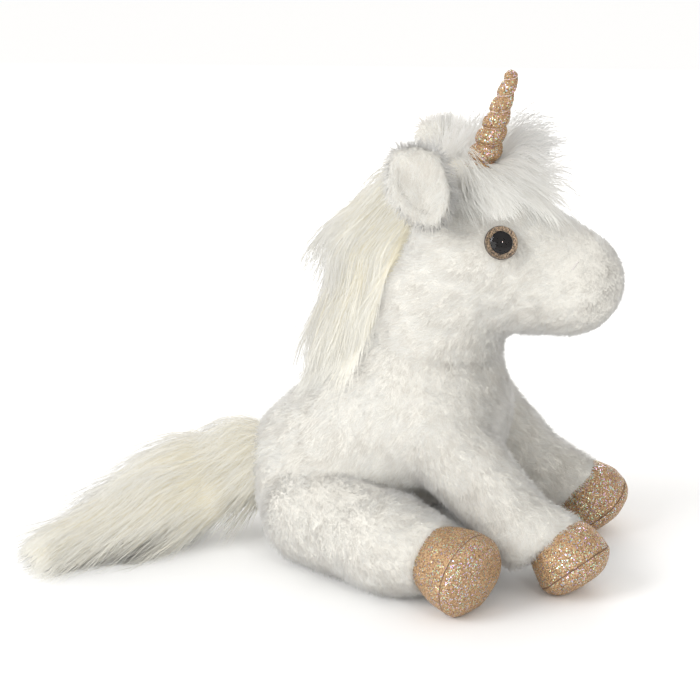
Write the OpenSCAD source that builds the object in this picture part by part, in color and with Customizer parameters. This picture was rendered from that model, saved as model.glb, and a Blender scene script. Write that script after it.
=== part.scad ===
// Sitting plush unicorn: long-pile cover panels over fibre fill, glitter-cloth hooves and horn.
// Millimetres. The animal faces -Y, its left is +X, and it sits on the plane Z = 0.

/* [Whole] */
// Length from the nose to the end of the tail
length = 333; // [328:1:338]

/* [Torso] */
// Radius of the chest, and of the ball the neck turns on
chest_r = 55; // [52:0.5:56]
// Height of the chest's centre above the floor
chest_z = 88; // [85:1:90]
// Radius of the rump
rump_r = 50; // [48:0.5:52]
// Height of the rump's centre above the floor, less than its radius so that it sits flat
rump_z = 46; // [44:0.5:47]

/* [Head] */
// Radius of the skull
skull_r = 46; // [44:0.5:47]
// Radius of the muzzle
muzzle_r = 33; // [31:0.5:34]
// Radius of the neck where it meets the chest
neck_r = 41.5; // [40:0.5:42]
// Radius of the eye dome
eye_r = 9; // [7:0.5:9.5]

/* [Horn] */
// Length of the horn
horn_len = 58; // [50:1:62]
// Radius of the horn's foot
horn_r = 9.5; // [8:0.25:10]
// Turns of the winding thread
horn_turns = 6; // [4:1:7]

/* [Legs] */
// Radius of the haunch
haunch_r = 34; // [32:0.5:34]
// Radius of the shoulder
shoulder_r = 28; // [26:0.5:29]
// Widest radius of a hind hoof
hind_hoof_r = 24; // [22:0.25:24]
// Widest radius of a fore hoof
fore_hoof_r = 22.25; // [20:0.25:22.5]

/* [Cloth] */
// Thickness of the plush cover, backing and pressed pile together
plush_t = 4; // [3:0.25:5]
// Thickness of the glitter cloth
cloth_t = 1.2; // [1:0.1:1.6]

/* [Hidden] */
left = 1;                // sides, as the sign of X
right = -1;
$fn = 72;
gap = 0.4;               // clearance between pieces that move apart
slip = 0.3;              // clearance between a cover and its fill
big = 400;               // larger than the whole animal
bands = 9;               // bands along each rounded end of a stuffed body
spin = 35;               // turn of each turned body about its own axis
socket_gap = 0.5;        // clearance round a leg's root

fur = [0.95, 0.94, 0.91];
hair = [0.93, 0.91, 0.84];
lining = [0.90, 0.87, 0.80];
fill = [0.97, 0.97, 0.97];
gold = [0.80, 0.64, 0.46];
dark = [0.05, 0.04, 0.04];

// Places on the centre plane. The origin is on the floor, midway from nose to tail.
chest = [0, -48.5, chest_z];
rump = [0, 5.5, rump_z];
skull = [0, -82.5, 181];
muzzle = [0, muzzle_r - length / 2, 168];
neck_lean = 11;                                    // forward lean of the neck, degrees
neck_axis = [0, -sin(neck_lean), cos(neck_lean)];
plug_r = chest_r + 15;                             // outer radius of the neck's plug of fill
horn_lean = 17.5;
horn_axis = [0, -sin(horn_lean), cos(horn_lean)];
horn_foot = [0, -81.5, 231];
lock_root = [0, -70, 236];                         // rear end of the forelock
lock_root_r = 14;

// Places on the animal's left. The right side is their mirror image.
hip = [39.5, 4, 31.5];
knee = [70.5, -45.5, 28.3];
knee_r = 29;
hock = [82.5, -74.5, 27.6];
hock_r = 23.6;
hind_axis = unit([0.48, -0.86, -0.16]);
hind_cup = 22;                                     // ankle plane to rim along the hoof
shoulder = [38, -68.5, 82];
fetlock = [45.5, -116.5, 33];
fetlock_r = 22;
pastern = [45.5, -136.5, 29.4];
pastern_r = 18.8;
lift_steps = [0, 17.5, 35];                        // degrees of lift at which a foreleg's socket is cut
fore_axis = [0.2, -0.62, -0.758];
fore_cup = 18;
eye_axis = unit([0.847, -0.355, 0.396]);
ear_root = [23, -60, 214];
ear_root_r = 7;
tail_root = [0, 49.5, 41];
tail_root_r = 20;
tail_end_r = 15;
tail_end = [-88, length / 2 - tail_end_r, 15.2];

function unit(v) = v / norm(v);

// ---- Shape helpers -------------------------------------------------------------------------

// Points children's +Z along v, from point p. The spin keeps a turned body's start line off the
// animal's centre plane.
module aim(p, v) {
    translate(p)
        rotate([0, acos(v[2] / norm(v)), atan2(v[1], v[0])])
            rotate([0, 0, spin]) children();
}

// A tapered capsule: two balls and the cone that touches both, turned from one banded outline.
module taper(p1, r1, p2, r2) {
    d = norm(p2 - p1);
    lean = asin((r1 - r2) / d);
    low = [for (i = [0:bands]) let (a = -90 + (lean + 90) * i / bands) r1 * [cos(a), sin(a)]];
    high = [for (i = [0:bands]) let (a = lean + (90 - lean) * i / bands) [0, d] + r2 * [cos(a), sin(a)]];
    aim(p1, p2 - p1) rotate_extrude() polygon(concat(low, high));
}

module ball(p, r) {
    translate(p) rotate([20, spin, 10]) sphere(r);
}

// Everything above the floor, when cut is the inset of a cover's inner face.
module above_floor(cut = 0) {
    translate([-big / 2, -big / 2, cut]) cube(big);
}

// The half space behind the plane through p whose normal is v.
module behind(p, v) {
    aim(p, v) translate([-big / 2, -big / 2, -big]) cube(big);
}

module mirrored(side) {
    if (side > 0) children();
    else mirror([1, 0, 0]) children();
}

// ---- Solids of the stuffed bodies, shrunk by inset ---------------------------------------------

module torso_solid(inset) {
    intersection() {
        taper(chest, chest_r - inset, rump, rump_r - inset);
        above_floor(inset);
    }
}

// Hollows in the torso for the roots of the tail and legs. A foreleg's hollow is cut at several
// degrees of lift, each a little larger than the last so that their surfaces stay distinct.
module limb_sockets() {
    ball(tail_root, tail_root_r + gap);
    for (side = [1, -1]) mirrored(side) {
        taper(hip, haunch_r + socket_gap, knee, knee_r + socket_gap);
        for (i = [0:len(lift_steps) - 1]) {
            room = socket_gap + 0.8 * i;
            translate(shoulder) rotate([-lift_steps[i], 0, 0]) translate(-shoulder)
                taper(shoulder, shoulder_r + room, fetlock, fetlock_r + room);
        }
    }
}

// The neck is turned about its own axis through the chest's centre, and its rounded top is in the head.
module neck_solid(inset) {
    taper(chest + neck_axis * 30, neck_r - inset, chest + neck_axis * 66, neck_r - inset);
}

module head_solid(inset) {
    difference() {
        union() {
            taper(skull, skull_r - inset, muzzle, muzzle_r - inset);
            neck_solid(inset);
        }
        ball(chest, chest_r + gap);
    }
}

module hind_leg_solid(inset) {
    intersection() {
        union() {
            taper(hip, haunch_r - inset, knee, knee_r - inset);
            taper(knee, knee_r - 1 - inset, hock, hock_r - inset);
        }
        behind(hock, hind_axis);
        above_floor(inset);
    }
}

module foreleg_solid(inset) {
    intersection() {
        union() {
            taper(shoulder, shoulder_r - inset, fetlock, fetlock_r - inset);
            taper(fetlock, fetlock_r - 1 - inset, pastern, pastern_r - inset);
        }
        behind(pastern, fore_axis);
        above_floor(inset);
    }
}

// ---- Hooves: a cup of bulging cloth from ankle plane to rim, and a domed sole ----------------------

module cup_profile(depth, r, inset) {
    bulge = 40;
    intersection() {
        translate([r - bulge, depth * 0.75]) circle(bulge - inset);
        square([r, depth]);
    }
}

module cup_solid(depth, r, inset) {
    rotate_extrude() cup_profile(depth, r, inset);
}

module dome_solid(depth, r, inset) {
    rise = r / 2;
    dome_r = (r * r + rise * rise) / (2 * rise);
    translate([0, 0, depth]) intersection() {
        translate([0, 0, rise - dome_r]) sphere(dome_r - inset);
        cylinder(h = r, r = r);
    }
}

module hoof_cup(depth, r) {
    difference() {
        cup_solid(depth, r, 0);
        translate([0, 0, -1]) cylinder(h = 1 + depth * 0.25, r = r * 0.76);
        cup_solid(depth + 1, r, cloth_t);
    }
}

module hoof_sole(depth, r) {
    translate([0, 0, 0.05]) difference() {
        dome_solid(depth, r, 0);
        dome_solid(depth, r, cloth_t);
    }
}

module hoof_fill(depth, r) {
    translate([0, 0, -4]) cylinder(h = depth + 8, r = r * 0.5);
    cup_solid(depth, r, cloth_t + slip);
    dome_solid(depth, r, cloth_t + slip);
}

// ---- Torso ---------------------------------------------------------------------------------------

module torso_cover() {
    color(fur) difference() {
        torso_solid(0);
        union() {
            torso_solid(plush_t);
            limb_sockets();
        }
    }
}

bag = [0, 7.5, 34];                                  // centre of the pellet bag
bag_r = 24;

module bag_solid(extra) {
    taper(bag - [8, 0, 0], bag_r + extra, bag + [8, 0, 0], bag_r + extra);
}

module torso_stuffing() {
    color(fill) difference() {
        torso_solid(plush_t + slip);
        union() {
            limb_sockets();
            bag_solid(slip);
        }
    }
}

module pellet_bag() {
    color(lining) difference() {
        bag_solid(0);
        limb_sockets();
    }
}

// ---- Head and neck --------------------------------------------------------------------------------

module head_cover() {
    color(fur) difference() {
        head_solid(0);
        head_solid(plush_t);
        aim(chest, neck_axis) cylinder(h = chest_r + 3, r = neck_r - plush_t - 0.05);
        for (side = [1, -1]) mirrored(side) {
            ear_socket();
            eye_hole();
        }
    }
}

module head_stuffing() {
    color(fill) difference() {
        head_solid(plush_t + slip);
        ball(chest, plug_r + slip);
        for (side = [1, -1]) mirrored(side) {
            ear_socket();
            eye_room();
        }
    }
}

// The plug of fill on which the head rocks, shared by the nod and the turn: a slice of the neck
// between two spheres about the chest's centre.
module neck_stuffing() {
    r = neck_r - plush_t - slip;
    low_r = chest_r + gap;
    low = [for (i = [0:bands]) let (a = asin(r / low_r) * i / bands) low_r * [sin(a), cos(a)]];
    high = [for (i = [bands:-1:0]) let (a = asin(r / plug_r) * i / bands) plug_r * [sin(a), cos(a)]];
    color(fill) aim(chest, neck_axis) rotate_extrude() polygon(concat(low, high));
}

// The crest of long hair, from between the ears to above the shoulders, clear of the chest's ball.
module mane() {
    color(hair) difference() {
        union() {
            taper([0, -52, 220], 17, [0, -27, 198], 24);
            taper([0, -28, 197], 23, [0, -3, 142], 24);
        }
        head_solid(-slip);
        ball(chest, chest_r + 12);
        ball(lock_root, lock_root_r + slip);
        for (side = [1, -1]) mirrored(side) ear_room();
    }
}

// The tuft in front of the ears, parted by the horn and falling over the brow.
module forelock() {
    color(hair) difference() {
        union() {
            taper(lock_root, lock_root_r, [0, -92, 243], 18);
            taper([0, -92, 242], 15, [0, -124, 240], 9);
            for (side = [1, -1])
                taper([side * 10, -82.5, 232], 13, [side * 24, -98.5, 216], 9);
        }
        head_solid(-slip);
        aim(horn_foot - horn_axis * 4, horn_axis) cylinder(h = big / 4, r = horn_r + 1);
        for (side = [1, -1]) mirrored(side) ear_room();
    }
}

nostril_axis = unit([0.844, -0.184, 0.506]);         // from the muzzle's middle to the left nostril

module nostril_stitch(side) {
    color(dark) mirrored(side)
        aim(muzzle + nostril_axis * (muzzle_r + 0.6), nostril_axis)
            rotate([0, 90, 0]) translate([0, 0, -3]) cylinder(h = 6, r = 0.5);
}

// ---- Horn: a padded cone pulled into a spiral by a winding thread -----------------------------------

horn_tip = 0.42;                                    // tip radius over foot radius
thread_r = 0.6;

module horn_twist(r) {
    linear_extrude(height = horn_len, twist = -360 * horn_turns, scale = horn_tip, slices = 60, $fn = 16)
        translate([r * 0.1, 0]) circle(r * 0.9, $fn = 16);
}

module horn_core(inset) {
    cylinder(h = horn_len - 2 - inset, r1 = horn_r * 0.72 - inset, r2 = horn_r * 0.72 * horn_tip - inset);
}

module horn_cover() {
    color(gold) aim(horn_foot, horn_axis) difference() {
        horn_twist(horn_r);
        horn_core(0);
    }
}

module horn_stuffing() {
    color(fill) aim(horn_foot, horn_axis) horn_core(slip);
}

module horn_winding_thread() {
    color(dark) aim(horn_foot, horn_axis)
        linear_extrude(height = horn_len - 1, twist = -360 * horn_turns, scale = horn_tip, slices = 60, $fn = 4)
            translate([-horn_r * 0.8 - thread_r - 0.35, 0]) circle(thread_r, $fn = 4);
}

// ---- Eyes: clear dome over a glitter iris, with a locking shank and washer ---------------------------

module at_eye() {
    aim([38.7, -100, 198.3] - eye_axis, eye_axis) children();
}

module eye_hole() {
    at_eye() translate([0, 0, -big / 20]) cylinder(h = big / 10, r = eye_r + 0.2);
}

module eye_room() {
    at_eye() translate([0, 0, -14]) cylinder(h = 40, r = eye_r + 0.6);
}

module eye_dome(side) {
    color([0.9, 0.9, 0.9, 0.4]) mirrored(side) at_eye() difference() {
        translate([0, 0, 1.2]) intersection() {
            translate([0, 0, -eye_r * 0.35]) sphere(eye_r * 1.06);
            cylinder(h = eye_r * 2, r = eye_r * 2);
        }
        translate([0, 0, 1]) cylinder(h = 1.6, r = eye_r * 0.6);
    }
}

module eye_iris(side) {
    color(gold) mirrored(side) at_eye() difference() {
        cylinder(h = 1, r = eye_r);
        translate([0, 0, -1]) cylinder(h = 3, r = eye_r * 0.6);
    }
}

module eye_pupil(side) {
    color(dark) mirrored(side) at_eye() {
        translate([0, 0, -1]) cylinder(h = 3.4, r = eye_r * 0.58);
        translate([0, 0, -12]) cylinder(h = 11.5, r = 2.2);
    }
}

module eye_washer(side) {
    color(fill) mirrored(side) at_eye() translate([0, 0, -9]) difference() {
        cylinder(h = 1.4, r = eye_r * 0.95);
        translate([0, 0, -1]) cylinder(h = 4, r = 2.3);
    }
}

// ---- Ears: a drooping leaf of plush with a smooth lining on its inner face ----------------------------

ear_crest = [[37, -42.5, 243], [39, -62.5, 243]];
ear_edge = [[51, -42.5, 226], [54, -72.5, 224], [54, -62.5, 212]];

module leaf(r) {
    hull() {
        translate(ear_root) sphere(r + 1, $fn = 24);
        for (p = ear_crest) translate(p) sphere(r, $fn = 24);
    }
    hull() {
        for (p = ear_crest) translate(p) sphere(r, $fn = 24);
        for (p = ear_edge) translate(p) sphere(r, $fn = 24);
    }
}

module ear_lining_solid(extra) {
    hull()
        for (p = [[39, -52.5, 238], [48, -46.5, 226], [50, -68.5, 223], [50, -61.5, 214]])
            translate(p + [-3.4, 0, -1.5]) sphere(2.4 + extra, $fn = 20);
}

module ear_plush(side) {
    color(fur) mirrored(side) difference() {
        leaf(6);
        ear_lining_solid(0.2);
    }
}

module ear_lining(side) {
    color(lining) mirrored(side) ear_lining_solid(0);
}

// The hollow in the head in which an ear's root turns.
module ear_socket() {
    ball(ear_root, ear_root_r + 2.2);
}

// The space an ear sweeps close to its root.
module ear_room() {
    ball(ear_root + [4, 0, 6], ear_root_r + 8);
}

// ---- Legs ---------------------------------------------------------------------------------------------

module hind_leg_cover(side) {
    color(fur) mirrored(side) difference() {
        hind_leg_solid(0);
        hind_leg_solid(plush_t);
        aim(hock, hind_axis) translate([0, 0, -6]) cylinder(h = 12, r = hock_r - plush_t - 0.5);
    }
}

module hind_leg_stuffing(side) {
    color(fill) mirrored(side) {
        hind_leg_solid(plush_t + slip);
        aim(hock + hind_axis * gap, hind_axis) hoof_fill(hind_cup, hind_hoof_r);
    }
}

module hind_hoof_cup(side) {
    color(gold) mirrored(side) aim(hock + hind_axis * gap, hind_axis) hoof_cup(hind_cup, hind_hoof_r);
}

module hind_hoof_sole(side) {
    color(gold) mirrored(side) aim(hock + hind_axis * gap, hind_axis) hoof_sole(hind_cup, hind_hoof_r);
}

module foreleg_cover(side) {
    color(fur) mirrored(side) difference() {
        foreleg_solid(0);
        foreleg_solid(plush_t);
        aim(pastern, fore_axis) translate([0, 0, -6]) cylinder(h = 12, r = pastern_r - plush_t - 0.5);
    }
}

module foreleg_stuffing(side) {
    color(fill) mirrored(side) {
        foreleg_solid(plush_t + slip);
        aim(pastern + fore_axis * gap, fore_axis) hoof_fill(fore_cup, fore_hoof_r);
    }
}

module fore_hoof_cup(side) {
    color(gold) mirrored(side) aim(pastern + fore_axis * gap, fore_axis) hoof_cup(fore_cup, fore_hoof_r);
}

module fore_hoof_sole(side) {
    color(gold) mirrored(side) aim(pastern + fore_axis * gap, fore_axis) hoof_sole(fore_cup, fore_hoof_r);
}

// ---- Tail ---------------------------------------------------------------------------------------------

tail_bend = [-24, 86, 33.2];
tail_bend_r = 33;
tail_neck = tail_root + unit(tail_bend - tail_root) * 12;   // where the hair starts to spread
tail_neck_r = 12;

// A ball in the rump, and hair that spreads from it clear of the rump as the tail swings.
module tail() {
    color(hair) {
        ball(tail_root, tail_root_r);
        taper(tail_neck, tail_neck_r, tail_bend, tail_bend_r);
        taper(tail_bend, tail_bend_r - 1, tail_end, tail_end_r);
    }
}

// ---- The nodes -----------------------------------------------------------------------------------------

torso_cover();
torso_stuffing();
pellet_bag();
neck_stuffing();
head_cover();
head_stuffing();
mane();
forelock();
horn_cover();
horn_stuffing();
horn_winding_thread();
eye_dome(left);  // left_eye_dome
eye_iris(left);  // left_eye_iris
eye_pupil(left);  // left_eye_pupil
eye_washer(left);  // left_eye_washer
nostril_stitch(left);  // left_nostril_stitch
ear_plush(left);  // left_ear_plush
ear_lining(left);  // left_ear_lining
foreleg_cover(left);  // left_foreleg_cover
foreleg_stuffing(left);  // left_foreleg_stuffing
fore_hoof_cup(left);  // left_fore_hoof_cup
fore_hoof_sole(left);  // left_fore_hoof_sole
hind_leg_cover(left);  // left_hind_leg_cover
hind_leg_stuffing(left);  // left_hind_leg_stuffing
hind_hoof_cup(left);  // left_hind_hoof_cup
hind_hoof_sole(left);  // left_hind_hoof_sole
eye_dome(right);  // right_eye_dome
eye_iris(right);  // right_eye_iris
eye_pupil(right);  // right_eye_pupil
eye_washer(right);  // right_eye_washer
nostril_stitch(right);  // right_nostril_stitch
ear_plush(right);  // right_ear_plush
ear_lining(right);  // right_ear_lining
foreleg_cover(right);  // right_foreleg_cover
foreleg_stuffing(right);  // right_foreleg_stuffing
fore_hoof_cup(right);  // right_fore_hoof_cup
fore_hoof_sole(right);  // right_fore_hoof_sole
hind_leg_cover(right);  // right_hind_leg_cover
hind_leg_stuffing(right);  // right_hind_leg_stuffing
hind_hoof_cup(right);  // right_hind_hoof_cup
hind_hoof_sole(right);  // right_hind_hoof_sole
tail();
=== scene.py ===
"""Sitting plush unicorn: fur, hair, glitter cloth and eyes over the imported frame.

Metres, +Z up, facing -Y, and +X is its left side.
"""

import math

import bpy
import numpy as np
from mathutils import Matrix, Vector


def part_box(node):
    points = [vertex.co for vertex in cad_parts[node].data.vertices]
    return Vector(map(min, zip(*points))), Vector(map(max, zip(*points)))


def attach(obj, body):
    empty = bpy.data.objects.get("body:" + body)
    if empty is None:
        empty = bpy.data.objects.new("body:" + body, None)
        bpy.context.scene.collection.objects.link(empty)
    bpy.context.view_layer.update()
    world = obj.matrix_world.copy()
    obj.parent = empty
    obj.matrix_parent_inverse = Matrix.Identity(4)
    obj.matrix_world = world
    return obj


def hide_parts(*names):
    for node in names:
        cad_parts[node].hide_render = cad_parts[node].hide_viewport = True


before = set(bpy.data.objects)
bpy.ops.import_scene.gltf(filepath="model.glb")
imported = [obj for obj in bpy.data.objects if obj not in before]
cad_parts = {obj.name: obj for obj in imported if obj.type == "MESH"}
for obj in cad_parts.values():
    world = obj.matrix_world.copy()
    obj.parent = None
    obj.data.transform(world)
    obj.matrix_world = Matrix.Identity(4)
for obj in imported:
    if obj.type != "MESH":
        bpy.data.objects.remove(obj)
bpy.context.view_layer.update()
scene = bpy.context.scene


def vec(x, y, z):
    return np.array([x, y, z], float)


def unit(v):
    v = np.asarray(v, float)
    return v / np.maximum(np.linalg.norm(v, axis=-1, keepdims=True), 1e-12)


def middle(node):
    """The middle of a CAD node's box."""
    low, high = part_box(node)
    return (np.array(low) + np.array(high)) / 2


# ---- Camera, light and floor ------------------------------------------------------------------

AIM = vec(-0.0035, -0.0073, 0.1189)
TOWARD_CAMERA = unit(vec(-0.92668, -0.21394, 0.30902))
CAMERA_DISTANCE = 1.25
LENS = 110.6
SUN_WAY = unit(vec(-0.58, 0.68, 0.62))
FLOOR_SIZE = 30.0


def add_camera():
    """A long lens on the toy's right side, a little above it."""
    camera = bpy.data.objects.new("camera", bpy.data.cameras.new("camera"))
    scene.collection.objects.link(camera)
    camera.data.lens = LENS
    camera.data.sensor_width = 36
    camera.location = AIM + TOWARD_CAMERA * CAMERA_DISTANCE
    camera.rotation_euler = Vector(-TOWARD_CAMERA).to_track_quat("-Z", "Y").to_euler()
    scene.camera = camera


def add_light(name, place, size, power, colour=(1, 1, 1)):
    """A square soft box that faces the animal."""
    data = bpy.data.lights.new(name, "AREA")
    data.size = size
    data.energy = power
    data.color = colour
    light = bpy.data.objects.new(name, data)
    scene.collection.objects.link(light)
    light.location = place
    light.rotation_euler = Vector(vec(0, -0.02, 0.12) - place).to_track_quat("-Z", "Y").to_euler()


def add_studio():
    """A soft sun from behind, two fills, and a small light that the eyes catch."""
    sun = bpy.data.lights.new("soft_sun", "SUN")
    sun.energy = 1.30
    sun.angle = math.radians(30)
    lamp = bpy.data.objects.new("soft_sun", sun)
    scene.collection.objects.link(lamp)
    lamp.rotation_euler = Vector(-SUN_WAY).to_track_quat("-Z", "Y").to_euler()
    add_light("catch_light", vec(-1.0, -0.73, 0.85), 0.11, 1.5)
    add_light("side_fill", vec(-1.2, 0.45, 0.35), 0.9, 3.0)
    add_light("far_fill", vec(1.3, 0.2, 0.6), 1.0, 8.0, (1.0, 0.98, 0.95))
    scene.world = bpy.data.worlds.new("studio")
    scene.world.use_nodes = True
    background = scene.world.node_tree.nodes["Background"]
    background.inputs["Color"].default_value = (1.0, 0.985, 0.965, 1)
    background.inputs["Strength"].default_value = 0.78
    scene.view_settings.view_transform = "Standard"


def add_floor():
    corner = FLOOR_SIZE / 2
    mesh = bpy.data.meshes.new("floor")
    mesh.from_pydata(
        [(-corner, -corner, 0), (corner, -corner, 0), (corner, corner, 0), (-corner, corner, 0)],
        [],
        [(0, 1, 2, 3)],
    )
    floor = bpy.data.objects.new("floor", mesh)
    scene.collection.objects.link(floor)
    mesh.materials.append(floor_material())


# ---- Materials --------------------------------------------------------------------------------


def add_node(tree, kind, settings=None, **inputs):
    """A shader node. Each input is a value, or the output socket that feeds it."""
    node = tree.nodes.new(kind)
    for key, value in (settings or {}).items():
        setattr(node, key, value)
    for key, value in inputs.items():
        socket = node.inputs[int(key[1:])] if key[0] == "_" else node.inputs[key.replace("_", " ")]
        if isinstance(value, bpy.types.NodeSocket):
            tree.links.new(value, socket)
        else:
            socket.default_value = value
    return node


def new_material(name, colour, roughness, **sockets):
    """A Principled material, its tree and its shader node."""
    made = bpy.data.materials.new(name)
    made.use_nodes = True
    made.diffuse_color = (*colour, 1)
    shader = made.node_tree.nodes["Principled BSDF"]
    shader.inputs["Base Color"].default_value = (*colour, 1)
    shader.inputs["Roughness"].default_value = roughness
    for key, value in sockets.items():
        shader.inputs[key.replace("_", " ")].default_value = value
    return made, made.node_tree, shader


def place_in(tree):
    return tree.nodes.new("ShaderNodeTexCoord").outputs["Object"]


def mix_colours(tree, share, low, high):
    mix = add_node(tree, "ShaderNodeMix", {"data_type": "RGBA"})
    tree.links.new(share, mix.inputs[0])
    for socket, value in ((mix.inputs[6], low), (mix.inputs[7], high)):
        if isinstance(value, bpy.types.NodeSocket):
            tree.links.new(value, socket)
        else:
            socket.default_value = (*value, 1)
    return mix.outputs[2]


def floor_material():
    """A plain pale studio floor."""
    return new_material("floor", (0.985, 0.99, 0.995), 0.9)[0]


def strand_materials(name, tints):
    """Pile or hair: one material for each tint, from darker cream to pale white. The darker tints are
    painted shade, at the roots of long hair and between clumps of pile, over the fibres' own cream-white
    tone.
    """
    soft = {"Sheen_Weight": 0.7, "Sheen_Roughness": 0.6, "Specular_IOR_Level": 0.2}
    return [new_material(f"{name}_{i}", tint, 0.85, **soft)[0] for i, tint in enumerate(tints)]


def skin_material(name, low, high):
    """The knitted backing and dense underfur below the pile."""
    made, tree, shader = new_material(name, high, 0.95, Sheen_Weight=0.3, Specular_IOR_Level=0.1)
    place = place_in(tree)
    cloud = add_node(tree, "ShaderNodeTexNoise", Vector=place, Scale=90.0, Detail=4.0)
    fuzz = add_node(tree, "ShaderNodeTexNoise", Vector=place, Scale=1400.0, Detail=2.0)
    tree.links.new(mix_colours(tree, cloud.outputs["Fac"], low, high), shader.inputs["Base Color"])
    bump = add_node(
        tree, "ShaderNodeBump", Strength=0.6, Distance=0.0006, Height=fuzz.outputs["Fac"]
    )
    tree.links.new(bump.outputs["Normal"], shader.inputs["Normal"])
    return made


def glitter_material(name, base, shade):
    """Tan-gold cloth sewn with tiny holographic flakes, each tilted its own way."""
    made, tree, shader = new_material(name, base, 0.5, Metallic=0.35)
    place = place_in(tree)
    flakes = add_node(tree, "ShaderNodeTexVoronoi", Vector=place, Scale=1900.0)
    parts = add_node(tree, "ShaderNodeSeparateColor", _0=flakes.outputs["Color"])
    bright = add_node(
        tree, "ShaderNodeMath", {"operation": "GREATER_THAN"}, _0=parts.outputs["Red"], _1=0.84
    )
    rainbow = add_node(
        tree,
        "ShaderNodeCombineColor",
        {"mode": "HSV"},
        _0=parts.outputs["Green"],
        _1=0.38,
        _2=1.0,
    )
    cloth = mix_colours(tree, parts.outputs["Blue"], shade, base)
    tree.links.new(
        mix_colours(tree, bright.outputs[0], cloth, rainbow.outputs["Color"]),
        shader.inputs["Base Color"],
    )
    metal = add_node(tree, "ShaderNodeMapRange", _0=bright.outputs[0], _3=0.35, _4=0.95)
    tree.links.new(metal.outputs[0], shader.inputs["Metallic"])
    rough = add_node(tree, "ShaderNodeMapRange", _0=bright.outputs[0], _3=0.55, _4=0.22)
    tree.links.new(rough.outputs[0], shader.inputs["Roughness"])
    tilt = add_node(tree, "ShaderNodeVectorMath", {"operation": "SUBTRACT"}, _0=flakes.outputs["Color"])
    tilt.inputs[1].default_value = (0.5, 0.5, 0.5)
    normal = tree.nodes.new("ShaderNodeNewGeometry").outputs["Normal"]
    lean = add_node(tree, "ShaderNodeVectorMath", {"operation": "MULTIPLY_ADD"}, _0=tilt.outputs[0])
    lean.inputs[1].default_value = (0.8, 0.8, 0.8)
    tree.links.new(normal, lean.inputs[2])
    even = add_node(tree, "ShaderNodeVectorMath", {"operation": "NORMALIZE"}, _0=lean.outputs[0])
    tree.links.new(even.outputs[0], shader.inputs["Normal"])
    return made


def thread_material(name, low, high):
    """Twisted sewing thread."""
    made, tree, shader = new_material(name, high, 0.6)
    wave = add_node(
        tree, "ShaderNodeTexWave", {"bands_direction": "DIAGONAL"}, Vector=place_in(tree), Scale=900.0
    )
    tree.links.new(mix_colours(tree, wave.outputs["Fac"], low, high), shader.inputs["Base Color"])
    return made


def fibre_material(name, low, high):
    """Matted fibre fill, or a coarse lining cloth."""
    made, tree, shader = new_material(name, high, 0.95)
    wool = add_node(tree, "ShaderNodeTexNoise", Vector=place_in(tree), Scale=400.0, Detail=5.0)
    tree.links.new(mix_colours(tree, wool.outputs["Fac"], low, high), shader.inputs["Base Color"])
    bump = add_node(tree, "ShaderNodeBump", Strength=0.8, Distance=0.001, Height=wool.outputs["Fac"])
    tree.links.new(bump.outputs["Normal"], shader.inputs["Normal"])
    return made


def iris_material():
    """Gold glitter behind the eye's clear dome."""
    made, tree, shader = new_material("iris_glitter", (0.50, 0.32, 0.18), 0.35, Metallic=0.6)
    flakes = add_node(tree, "ShaderNodeTexVoronoi", Vector=place_in(tree), Scale=1700.0)
    parts = add_node(tree, "ShaderNodeSeparateColor", _0=flakes.outputs["Color"])
    tree.links.new(
        mix_colours(tree, parts.outputs["Red"], (0.035, 0.016, 0.007), (0.78, 0.54, 0.33)),
        shader.inputs["Base Color"],
    )
    return made


def moulded_material(name, colour, roughness):
    """Hard plastic with a faint mottle from the mould."""
    made, tree, shader = new_material(name, colour, roughness)
    cloud = add_node(tree, "ShaderNodeTexNoise", Vector=place_in(tree), Scale=300.0)
    low = tuple(c * 0.8 for c in colour)
    tree.links.new(mix_colours(tree, cloud.outputs["Fac"], low, colour), shader.inputs["Base Color"])
    return made


# The darker tints of each set are painted shade, for fibres that throw no shadow; the paler ones are the
# fibres' own cream white.
PILE = strand_materials("white_pile", [(0.77, 0.735, 0.665), (0.82, 0.80, 0.74), (0.85, 0.84, 0.79)])
HAIR = strand_materials("long_hair", [(0.77, 0.715, 0.55), (0.81, 0.775, 0.66), (0.83, 0.81, 0.73)])
PALE_HAIR = strand_materials("pale_hair", [(0.78, 0.75, 0.67), (0.83, 0.81, 0.75), (0.85, 0.84, 0.79)])
NAP = strand_materials("lining_nap", [(0.80, 0.745, 0.63), (0.86, 0.815, 0.72)])
BACKING = skin_material("plush_backing", (0.76, 0.73, 0.665), (0.83, 0.815, 0.755))
HAIR_BACKING = skin_material("hair_backing", (0.79, 0.73, 0.57), (0.85, 0.81, 0.69))
LINING = skin_material("ear_lining", (0.76, 0.69, 0.56), (0.86, 0.81, 0.70))
GLITTER = glitter_material("glitter_cloth", (0.62, 0.40, 0.21), (0.21, 0.115, 0.055))
SEAM_THREAD = thread_material("seam_thread", (0.11, 0.06, 0.035), (0.22, 0.13, 0.08))
PALE_THREAD = thread_material("pale_thread", (0.52, 0.49, 0.46), (0.74, 0.71, 0.68))
WINDING = thread_material("winding_thread", (0.72, 0.55, 0.50), (0.90, 0.76, 0.70))
FIBRE = fibre_material("fibre_fill", (0.80, 0.80, 0.80), (0.95, 0.95, 0.95))
BAG_CLOTH = fibre_material("bag_cloth", (0.70, 0.66, 0.60), (0.84, 0.80, 0.73))
IRIS = iris_material()
BLACK = moulded_material("black_plastic", (0.010, 0.008, 0.008), 0.5)
BLACK.node_tree.nodes["Principled BSDF"].inputs["Specular IOR Level"].default_value = 0.0
# Dark brown of the eye's backing edge, which also serves as painted shade round the eye.
BROWN = moulded_material("brown_plastic", (0.06, 0.03, 0.018), 0.3)
WHITE = moulded_material("white_plastic", (0.85, 0.85, 0.85), 0.4)
CLEAR = new_material("clear_plastic", (1.0, 1.0, 1.0), 0.02, Transmission_Weight=1.0, IOR=1.42)[0]


# ---- Mesh helpers -----------------------------------------------------------------------------


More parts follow.
